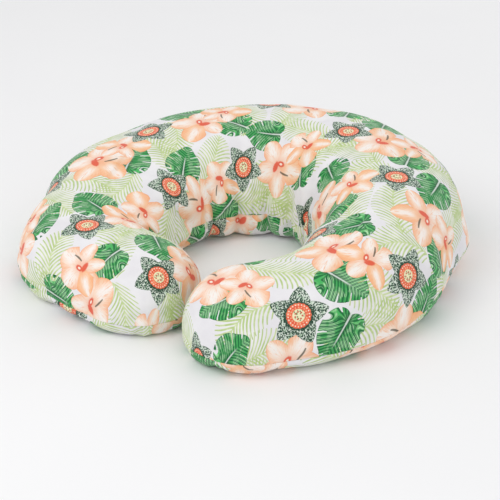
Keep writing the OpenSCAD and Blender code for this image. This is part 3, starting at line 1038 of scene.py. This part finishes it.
def make(name, verts, faces, material, cloth_at=None):
    """A smooth-shaded object; cloth_at holds the flat-cloth place of each point."""
    mesh = bpy.data.meshes.new(name)
    mesh.from_pydata(np.asarray(verts).tolist(), [], [list(map(int, f)) for f in faces])
    mesh.update()
    ob = bpy.data.objects.new(name, mesh)
    scene.collection.objects.link(ob)
    mesh.materials.append(material)
    mesh.polygons.foreach_set("use_smooth", [True] * len(mesh.polygons))
    if cloth_at is not None:
        coords = np.zeros((len(verts), 3), np.float32)
        coords[:, :2] = cloth_at
        attribute = mesh.attributes.new("cloth_at", "FLOAT_VECTOR", "POINT")
        attribute.data.foreach_set("vector", coords.ravel())
    return ob


SIDES = ("left", "right")


def cut(g):
    """The rows of a panel grid on the left and on the right of the back's middle."""
    middle = int(np.argmin(np.abs(g["rows"] - 0.5)))
    return slice(0, middle + 1), slice(middle, None)


def halves(g, P, name, thick, material):
    """Cuts a panel at the middle of the back into a left and a right closed sheet of cloth, each
    with the flat-cloth place of its points and with its normals shared along the cut."""
    N = grid_normals(P, g["up"])
    out = []
    for side, part in zip(SIDES, cut(g)):
        p, n, flat = P[part], N[part], g["F"][part].reshape(-1, 2)
        if not g["up"]:
            flat = flat * np.array([1, -1]) + BOTTOM_SHIFT
        rows, cols = p.shape[:2]
        faces_out = grid_faces(rows, cols, g["up"])
        rim = rim_faces(rows, cols)
        if not g["up"]:
            rim = rim[:, ::-1]
        inside = p - n * thick
        inside[..., 2] = np.maximum(inside[..., 2], p[..., 2].min() / 2)
        verts = np.concatenate([p.reshape(-1, 3), inside.reshape(-1, 3)])
        faces = np.concatenate([faces_out, faces_out[:, ::-1] + rows * cols, rim])
        ob = make(f"{name}_{side}", verts, faces, material, np.concatenate([flat, flat]))
        vertex = np.zeros(len(ob.data.loops), np.int32)
        ob.data.loops.foreach_get("vertex_index", vertex)
        corner = np.concatenate([n.reshape(-1, 3), -n.reshape(-1, 3)])[vertex]
        on_rim = np.array([q.normal for q in ob.data.polygons[-len(rim):]])
        corner[-4 * len(rim):] = np.repeat(on_rim, 4, axis=0)
        ob.data.normals_split_custom_set(corner.tolist())
        out.append(ob)
    return out


def bend(ob, side):
    """Bakes a piece's transform into its mesh; the arm's flex joint is looked up but not used."""
    x = joints[side + "_arm_flex"]["pos_m"][0]
    side + "_arm"
    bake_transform(ob)


TAPER, POINT = 0.6, 0.4


def tube(path, radius, sides=6):
    """Verts, faces and thread coordinates of a thread along a path, closed with pointed ends."""
    path = np.asarray(path)
    d = np.gradient(path, axis=0)
    d /= np.linalg.norm(d, axis=1, keepdims=True)
    up = np.tile([0.0, 0.0, 1.0], (len(path), 1))
    up[np.abs(d[:, 2]) > 0.9] = (1.0, 0.0, 0.0)
    a = np.cross(d, up)
    a /= np.linalg.norm(a, axis=1, keepdims=True)
    b = np.cross(d, a)
    turn = np.arange(sides) * 2 * math.pi / sides
    r = np.full(len(path), radius)
    r[[0, -1]] = radius * TAPER
    ring = a[:, None] * np.cos(turn)[None, :, None] + b[:, None] * np.sin(turn)[None, :, None]
    verts = (path[:, None] + ring * r[:, None, None]).reshape(-1, 3)
    length = lengths(path)
    coords = np.stack(np.meshgrid(length, turn, indexing="ij"), -1).reshape(-1, 2)
    n = len(path)
    i, j = np.meshgrid(np.arange(n - 1), np.arange(sides), indexing="ij")
    k = (j + 1) % sides
    faces = np.stack([i * sides + j, i * sides + k, (i + 1) * sides + k, (i + 1) * sides + j], -1)
    faces = faces.reshape(-1, 4)
    ends = np.array([path[0] - d[0] * radius * POINT, path[-1] + d[-1] * radius * POINT])
    verts = np.concatenate([verts, ends])
    coords = np.concatenate([coords, [[length[0], 0], [length[-1], 0]]])
    tail = (n - 1) * sides
    first = [(n * sides, (q + 1) % sides, q) for q in range(sides)]
    last = [(n * sides + 1, tail + q, tail + (q + 1) % sides) for q in range(sides)]
    return verts, [tuple(f) for f in faces] + first + last, coords


def gather_tubes(tubes):
    """Several tubes as one set of verts, faces and thread coordinates."""
    verts, faces, coords, base = [], [], [], 0
    for v, f, c in tubes:
        verts.append(v)
        coords.append(c)
        faces += [tuple(q + base for q in face) for face in f]
        base += len(v)
    return np.concatenate(verts), faces, np.concatenate(coords)


# ---------------------------------------------------------------- covers, casings, filling

MAIN_TOP, MAIN_BOTTOM, STEP = 46, 34, 0.004
BOTTOM_SHIFT = np.array([0.071, 0.043])
cotton, thread = printed_cotton(), twisted()
cover = {}
casing = []


def show_halves(g, P, piece, word, thick, material, slot):
    """Makes the left and the right half of a panel, bakes their transforms and hides the CAD nodes they
    replace.
    """
    pair = halves(g, P, f"{piece}_{word}", thick, material)
    for ob, side in zip(pair, SIDES):
        bend(ob, side)
        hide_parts(f"{piece}_{word}_panel_{side}_arm", f"{piece}_{word}_panel_back")


for up, word, main in ((True, "top", MAIN_TOP), (False, "bottom", MAIN_BOTTOM)):
    g = panel(up, main, STEP)
    cover[word] = (g, soften(g))
    show_halves(*cover[word], "cover", word, CLOTH_T, cotton, "printed_cotton")

# Grid of the inner layers, and how far each is set in at the seam, at the crown and off the floor
INNER_MAIN, INNER_STEP = 30, 0.006
CASING_SIDE, CASING_RISE, CASING_LOW, CASING_T = 0.0095, 0.0026, 0.0013, 0.0006
LAYER_GAP = 0.0003
calico = woven("casing_cotton", rgb(238, 237, 232), rgb(222, 221, 214), 0.0007)
for up, word in ((True, "top"), (False, "bottom")):
    g = panel(up, INNER_MAIN, INNER_STEP, edge=False, side=CASING_SIDE, rise=CASING_RISE)
    P = kept_inside(soften(g, CASING_LOW), cover.values(), CLOTH_T + LAYER_GAP)
    casing.append((g, P))
    show_halves(g, P, "casing", word, CASING_T, calico, "casing_cotton")

FILL_SIDE, FILL_RISE, FILL_LOW = 0.0115, 0.0042, 0.0040
FILL_LUMPS = waves(14, 0.020, 0.040, 0.0004)
fluff = fluffy()
layers = []
for up in (True, False):
    g = panel(up, INNER_MAIN, INNER_STEP, edge=False, side=FILL_SIDE, rise=FILL_RISE, closed=True)
    P = soften(g, FILL_LOW)
    P = P + grid_normals(P, up) * wave_sum(P, FILL_LUMPS)[..., None] * hold(g)[..., None]
    layers.append((g, kept_inside(P, casing, CASING_T + LAYER_GAP)))
for side, top_part, low_part in zip(SIDES, cut(layers[0][0]), cut(layers[1][0])):
    upper, lower = layers[0][1][top_part], layers[1][1][low_part]
    rows, cols = upper.shape[:2]
    tip, middle = (0, rows - 1) if side == "left" else (rows - 1, 0)
    shared = np.zeros((rows, cols), bool)
    shared[tip, :] = shared[:, [0, -1]] = True
    number, below = sewn_numbers(shared)
    verts = np.concatenate([upper.reshape(-1, 3), lower[~shared]])
    a, b = number[middle], below[middle]
    face = [(a[j], a[j + 1], b[j + 1], b[j]) for j in range(1, cols - 2)]
    face += [(a[0], a[1], b[1]), (a[-2], a[-1], b[-2])]
    if side == "right":
        face = [f[::-1] for f in face]
    faces = [tuple(f) for f in grid_faces(rows, cols, True)]
    faces += [tuple(f) for f in grid_faces(rows, cols, False, below.ravel())] + face
    ob = make(f"filling_{side}", verts, faces, fluff)
    bend(ob, side)
    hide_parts(f"fibre_filling_{side}_arm", "fibre_filling_back")

# ---------------------------------------------------------------- the cover's thread

PITCH, LOOP_IN, LOOP_UP, THREAD_R = 0.0032, 0.0013, 0.00118, 0.00016
STITCH, STITCH_GAP, STITCH_R, FROM_FOLD = 0.0024, 0.0008, 0.00028, 0.0035
LOOP_POINTS = 10
STITCH_POINTS = 6
STITCH_STEP = 0.0002
# Columns from the fold of the hem in which a row of stitches is looked for
HEM_COLUMNS = 8


def spaced(path, step):
    """The path with even steps, and the length at each; columns after the third are carried along."""
    length = lengths(path[:, :3])
    at = np.arange(0, length[-1], step)
    return np.stack([np.interp(at, length, path[:, k]) for k in range(path.shape[1])], 1), at


def overlock(side):
    """Loops over the raw edge of the allowance, from the back's middle round the tip to the zip."""
    g, P = cover["top"]
    part = cut(g)[SIDES.index(side)]
    p = P[part]
    t = along(g["S"][part][:, -1], _t)
    if side == "right":
        p, t = p[::-1], t[::-1]
    stop = int(np.argmax(np.abs(t) * math.pi / 2 < TAPE_END_AZ + math.radians(4)))
    back_in = ALLOWANCE_STEPS
    edge = np.concatenate([p[::-1, 0], p[0, 1:], p[1:stop, -1]])
    inside = np.concatenate([
        p[::-1, back_in], p[back_in, 1:], p[1:stop, -1 - back_in]])
    way = (inside - edge) * np.array([1, 1, 0.0])
    way /= np.maximum(np.linalg.norm(way, axis=1, keepdims=True), 1e-9)
    line, at = spaced(np.concatenate([edge, way], 1), PITCH / LOOP_POINTS)
    centre, way = line[:, :3], line[:, 3:]
    turn = 2 * math.pi * at / PITCH
    path = centre + way * (0.0009 - LOOP_IN * np.cos(turn))[:, None]
    path[:, 2] += LOOP_UP * np.sin(turn) - SEAM_GAP
    return tube(path, THREAD_R, 5)


def topstitch(word, side):
    """A row of stitches beside the zip, through the cover, its hem and the tape."""
    g, P = cover[word]
    t = along(g["S"][:, -1], _t)
    on = (np.abs(t) * math.pi / 2 < STOP_AZ + STITCH_PAST) & (t <= 0 if side == "left" else t >= 0)
    last = g["n_half"] + g["main"]
    line = []
    for row in P[on][:, last - HEM_COLUMNS:last + 1]:
        back_from = row[::-1]
        line.append([np.interp(FROM_FOLD, lengths(back_from), back_from[:, k]) for k in range(3)])
    line, _ = spaced(np.array(line), STITCH_STEP)
    n = line * np.array([1, 1, 0.0])
    n /= np.linalg.norm(n, axis=1, keepdims=True)
    period = int(round((STITCH + STITCH_GAP) / STITCH_STEP))
    long = int(round(STITCH / STITCH_STEP))
    out = []
    for i in range(0, len(line) - long, period):
        pick = np.linspace(i, i + long, STITCH_POINTS).astype(int)
        rise = np.sin(np.linspace(0, math.pi, STITCH_POINTS)) * 0.00040 - 0.00022
        out.append(tube(line[pick] + n[pick] * rise[:, None], STITCH_R))
    return out


def bar_tack(side):
    """Close horizontal stitches across the seam at the end of the zip."""
    azimuth = (STOP_AZ + TACK_PAST) * (-1 if side == "left" else 1)
    profile = []
    for word in ("bottom", "top"):
        g, P = cover[word]
        row = int(np.argmin(np.abs(along(g["S"][:, -1], _t) * math.pi / 2 - azimuth)))
        last = g["n_half"] + g["main"]
        points = P[row, last - HEM_COLUMNS:last + 2]
        profile.append(np.stack([points[:, 2], np.hypot(points[:, 0], points[:, 1])], 1))
    profile = np.concatenate(profile)
    profile = profile[np.argsort(profile[:, 0])]
    out = []
    for z in np.arange(-0.0048, 0.0049, 0.0006):
        r = max(np.interp(SEAM_Z + z, profile[:, 0], profile[:, 1]), SEAM_R - 0.0004) + 0.00012
        a = azimuth + np.linspace(-0.0013, 0.0013, STITCH_POINTS) / r
        rise = r + np.sin(np.linspace(0, math.pi, STITCH_POINTS)) * 0.0003
        stitch = np.stack([rise * np.sin(a), rise * np.cos(a), np.full(STITCH_POINTS, SEAM_Z + z)], 1)
        out.append(tube(stitch, STITCH_R))
    return out


for side in SIDES:
    rows_of = [overlock(side)] + topstitch("top", side) + topstitch("bottom", side) + bar_tack(side)
    verts, faces, coords = gather_tubes(rows_of)
    ob = make(f"cover_seam_thread_{side}", verts, faces, thread, coords)
    bend(ob, side)
    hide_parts(f"cover_seam_thread_{side}_arm", "cover_seam_thread_back")

# ---------------------------------------------------------------- care label

LABEL_W, LABEL_T, LABEL_LOW = 0.030, 0.00022, 0.0072
LABEL_R = 0.3217
hinge = joints["care_label_flip"]["pos_m"]
LABEL_AZ = math.atan2(hinge[1], hinge[0])


def care_label():
    """A ribbon folded in two, its ends caught in the seam; it bends over and hangs down."""
    bend_r = 0.0016
    turn = np.linspace(0, math.pi / 2, 9)
    start = LABEL_R + 0.0007
    mid = [(LABEL_R, SEAM_Z), (start, SEAM_Z)]
    mid += [(start + bend_r * math.sin(a), SEAM_Z - bend_r * (1 - math.cos(a))) for a in turn[1:]]
    low = np.linspace(SEAM_Z - bend_r, LABEL_LOW, 15)[1:]
    mid += [(mid[-1][0] + 0.0011 * ((SEAM_Z - z) / SEAM_Z) ** 2, z) for z in low]
    mid = np.array(mid)
    d = np.gradient(mid, axis=0)
    d /= np.linalg.norm(d, axis=1, keepdims=True)
    n = np.stack([-d[:, 1], d[:, 0]], 1)
    gap = LABEL_T * 0.62
    fold = np.linspace(0, math.pi, 7)[1:-1]
    bottom = [mid[-1] + n[-1] * gap * math.cos(a) + d[-1] * gap * 1.4 * math.sin(a) for a in fold]
    path = np.concatenate([mid + n * gap, bottom, (mid - n * gap)[::-1]])
    pd = np.gradient(path, axis=0)
    pd /= np.linalg.norm(pd, axis=1, keepdims=True)
    pn = np.stack([-pd[:, 1], pd[:, 0]], 1) * LABEL_T / 2
    length = lengths(path)
    across = np.linspace(-LABEL_W / 2, LABEL_W / 2, 27)
    layers_of, coords = [], []
    for shift in (pn, -pn):
        q = path + shift
        hang = np.clip((SEAM_Z - q[:, 1]) / SEAM_Z, 0, 1)
        r = q[:, 0][:, None] + 0.0012 * hang[:, None] * (1 + np.sin(across * 190 + 0.6)[None, :])
        a = LABEL_AZ - across / LABEL_R
        height = np.repeat(q[:, 1][:, None], len(across), 1)
        layers_of.append(np.stack([r * np.cos(a), r * np.sin(a), height], -1))
        coords.append(np.stack(np.meshgrid(length, across, indexing="ij")[::-1], -1))
    rows, cols = layers_of[0].shape[:2]
    verts = np.concatenate([p.reshape(-1, 3) for p in layers_of])
    outer = grid_faces(rows, cols, True)
    faces = np.concatenate([outer, outer[:, ::-1] + rows * cols, rim_faces(rows, cols)])
    return verts, faces, np.concatenate([c.reshape(-1, 2) for c in coords])


verts, faces, coords = care_label()
label = make("care_label_ribbon", verts, faces, satin(), coords)
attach(label, "care_label")
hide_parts("care_label")

# ---------------------------------------------------------------- shown CAD nodes

zip_tape, zip_plastic, zip_metal = tape(), moulded(), nickel()
for name, ob in frame["nodes"].items():
    if not ob.hide_render:
        if "tape" in name:
            look = zip_tape
        elif "slider" in name or "pull" in name:
            look = zip_metal
        else:
            look = zip_plastic
        ob.data.materials.clear()
        ob.data.materials.append(look)


# ---------------------------------------------------------------- stage

LIGHTS_AIM = (0, 0, 0.05)


def area(name, where, size, power):
    """A square area light that shines at the pillow."""
    light = bpy.data.lights.new(name, "AREA")
    light.size, light.energy = size, power
    ob = bpy.data.objects.new(name, light)
    scene.collection.objects.link(ob)
    ob.location = where
    ob.rotation_mode = "QUATERNION"
    ob.rotation_quaternion = (Vector(LIGHTS_AIM) - Vector(where)).to_track_quat("-Z", "Y")


FLOOR = 30.0
floor_mesh = bpy.data.meshes.new("floor")
corners = [(x * FLOOR, y * FLOOR, 0) for x, y in ((-1, -1), (1, -1), (1, 1), (-1, 1))]
floor_mesh.from_pydata(corners, [], [(0, 1, 2, 3)])
floor = bpy.data.objects.new("floor", floor_mesh)
scene.collection.objects.link(floor)
floor_mesh.materials.append(backdrop())
area("key", (-1.2, -1.6, 2.2), 1.8, 25)
area("fill", (1.8, -1.0, 1.5), 2.0, 7)
area("rim", (0.3, 2.2, 1.8), 2.0, 7)
world = bpy.data.worlds.new("world")
scene.world = world
world.use_nodes = True
world.node_tree.nodes["Background"].inputs[0].default_value = (1, 1, 1, 1)
world.node_tree.nodes["Background"].inputs[1].default_value = 0.72
scene.view_settings.view_transform = "Standard"

# Camera angles, distance and lens, and the offset of its aim to the right and downwards
AZ, EL, DIST = math.radians(17.6), math.radians(26.5), 1.873
LENS = 94.9
AIM_RIGHT, AIM_DOWN = 0.0061, 0.0367

back = Vector((math.sin(AZ) * math.cos(EL), -math.cos(AZ) * math.cos(EL), math.sin(EL)))
right = Vector((math.cos(AZ), math.sin(AZ), 0.0))
AIM = Vector((0.0, 0.0, 0.06)) + right * AIM_RIGHT - back.cross(right) * AIM_DOWN
cam_data = bpy.data.cameras.new("camera")
cam_data.sensor_width = 36
cam_data.lens = LENS
cam = bpy.data.objects.new("camera", cam_data)
scene.collection.objects.link(cam)
cam.location = AIM + back * DIST
cam.rotation_mode = "QUATERNION"
cam.rotation_quaternion = (-back).to_track_quat("-Z", "Y")
scene.camera = cam
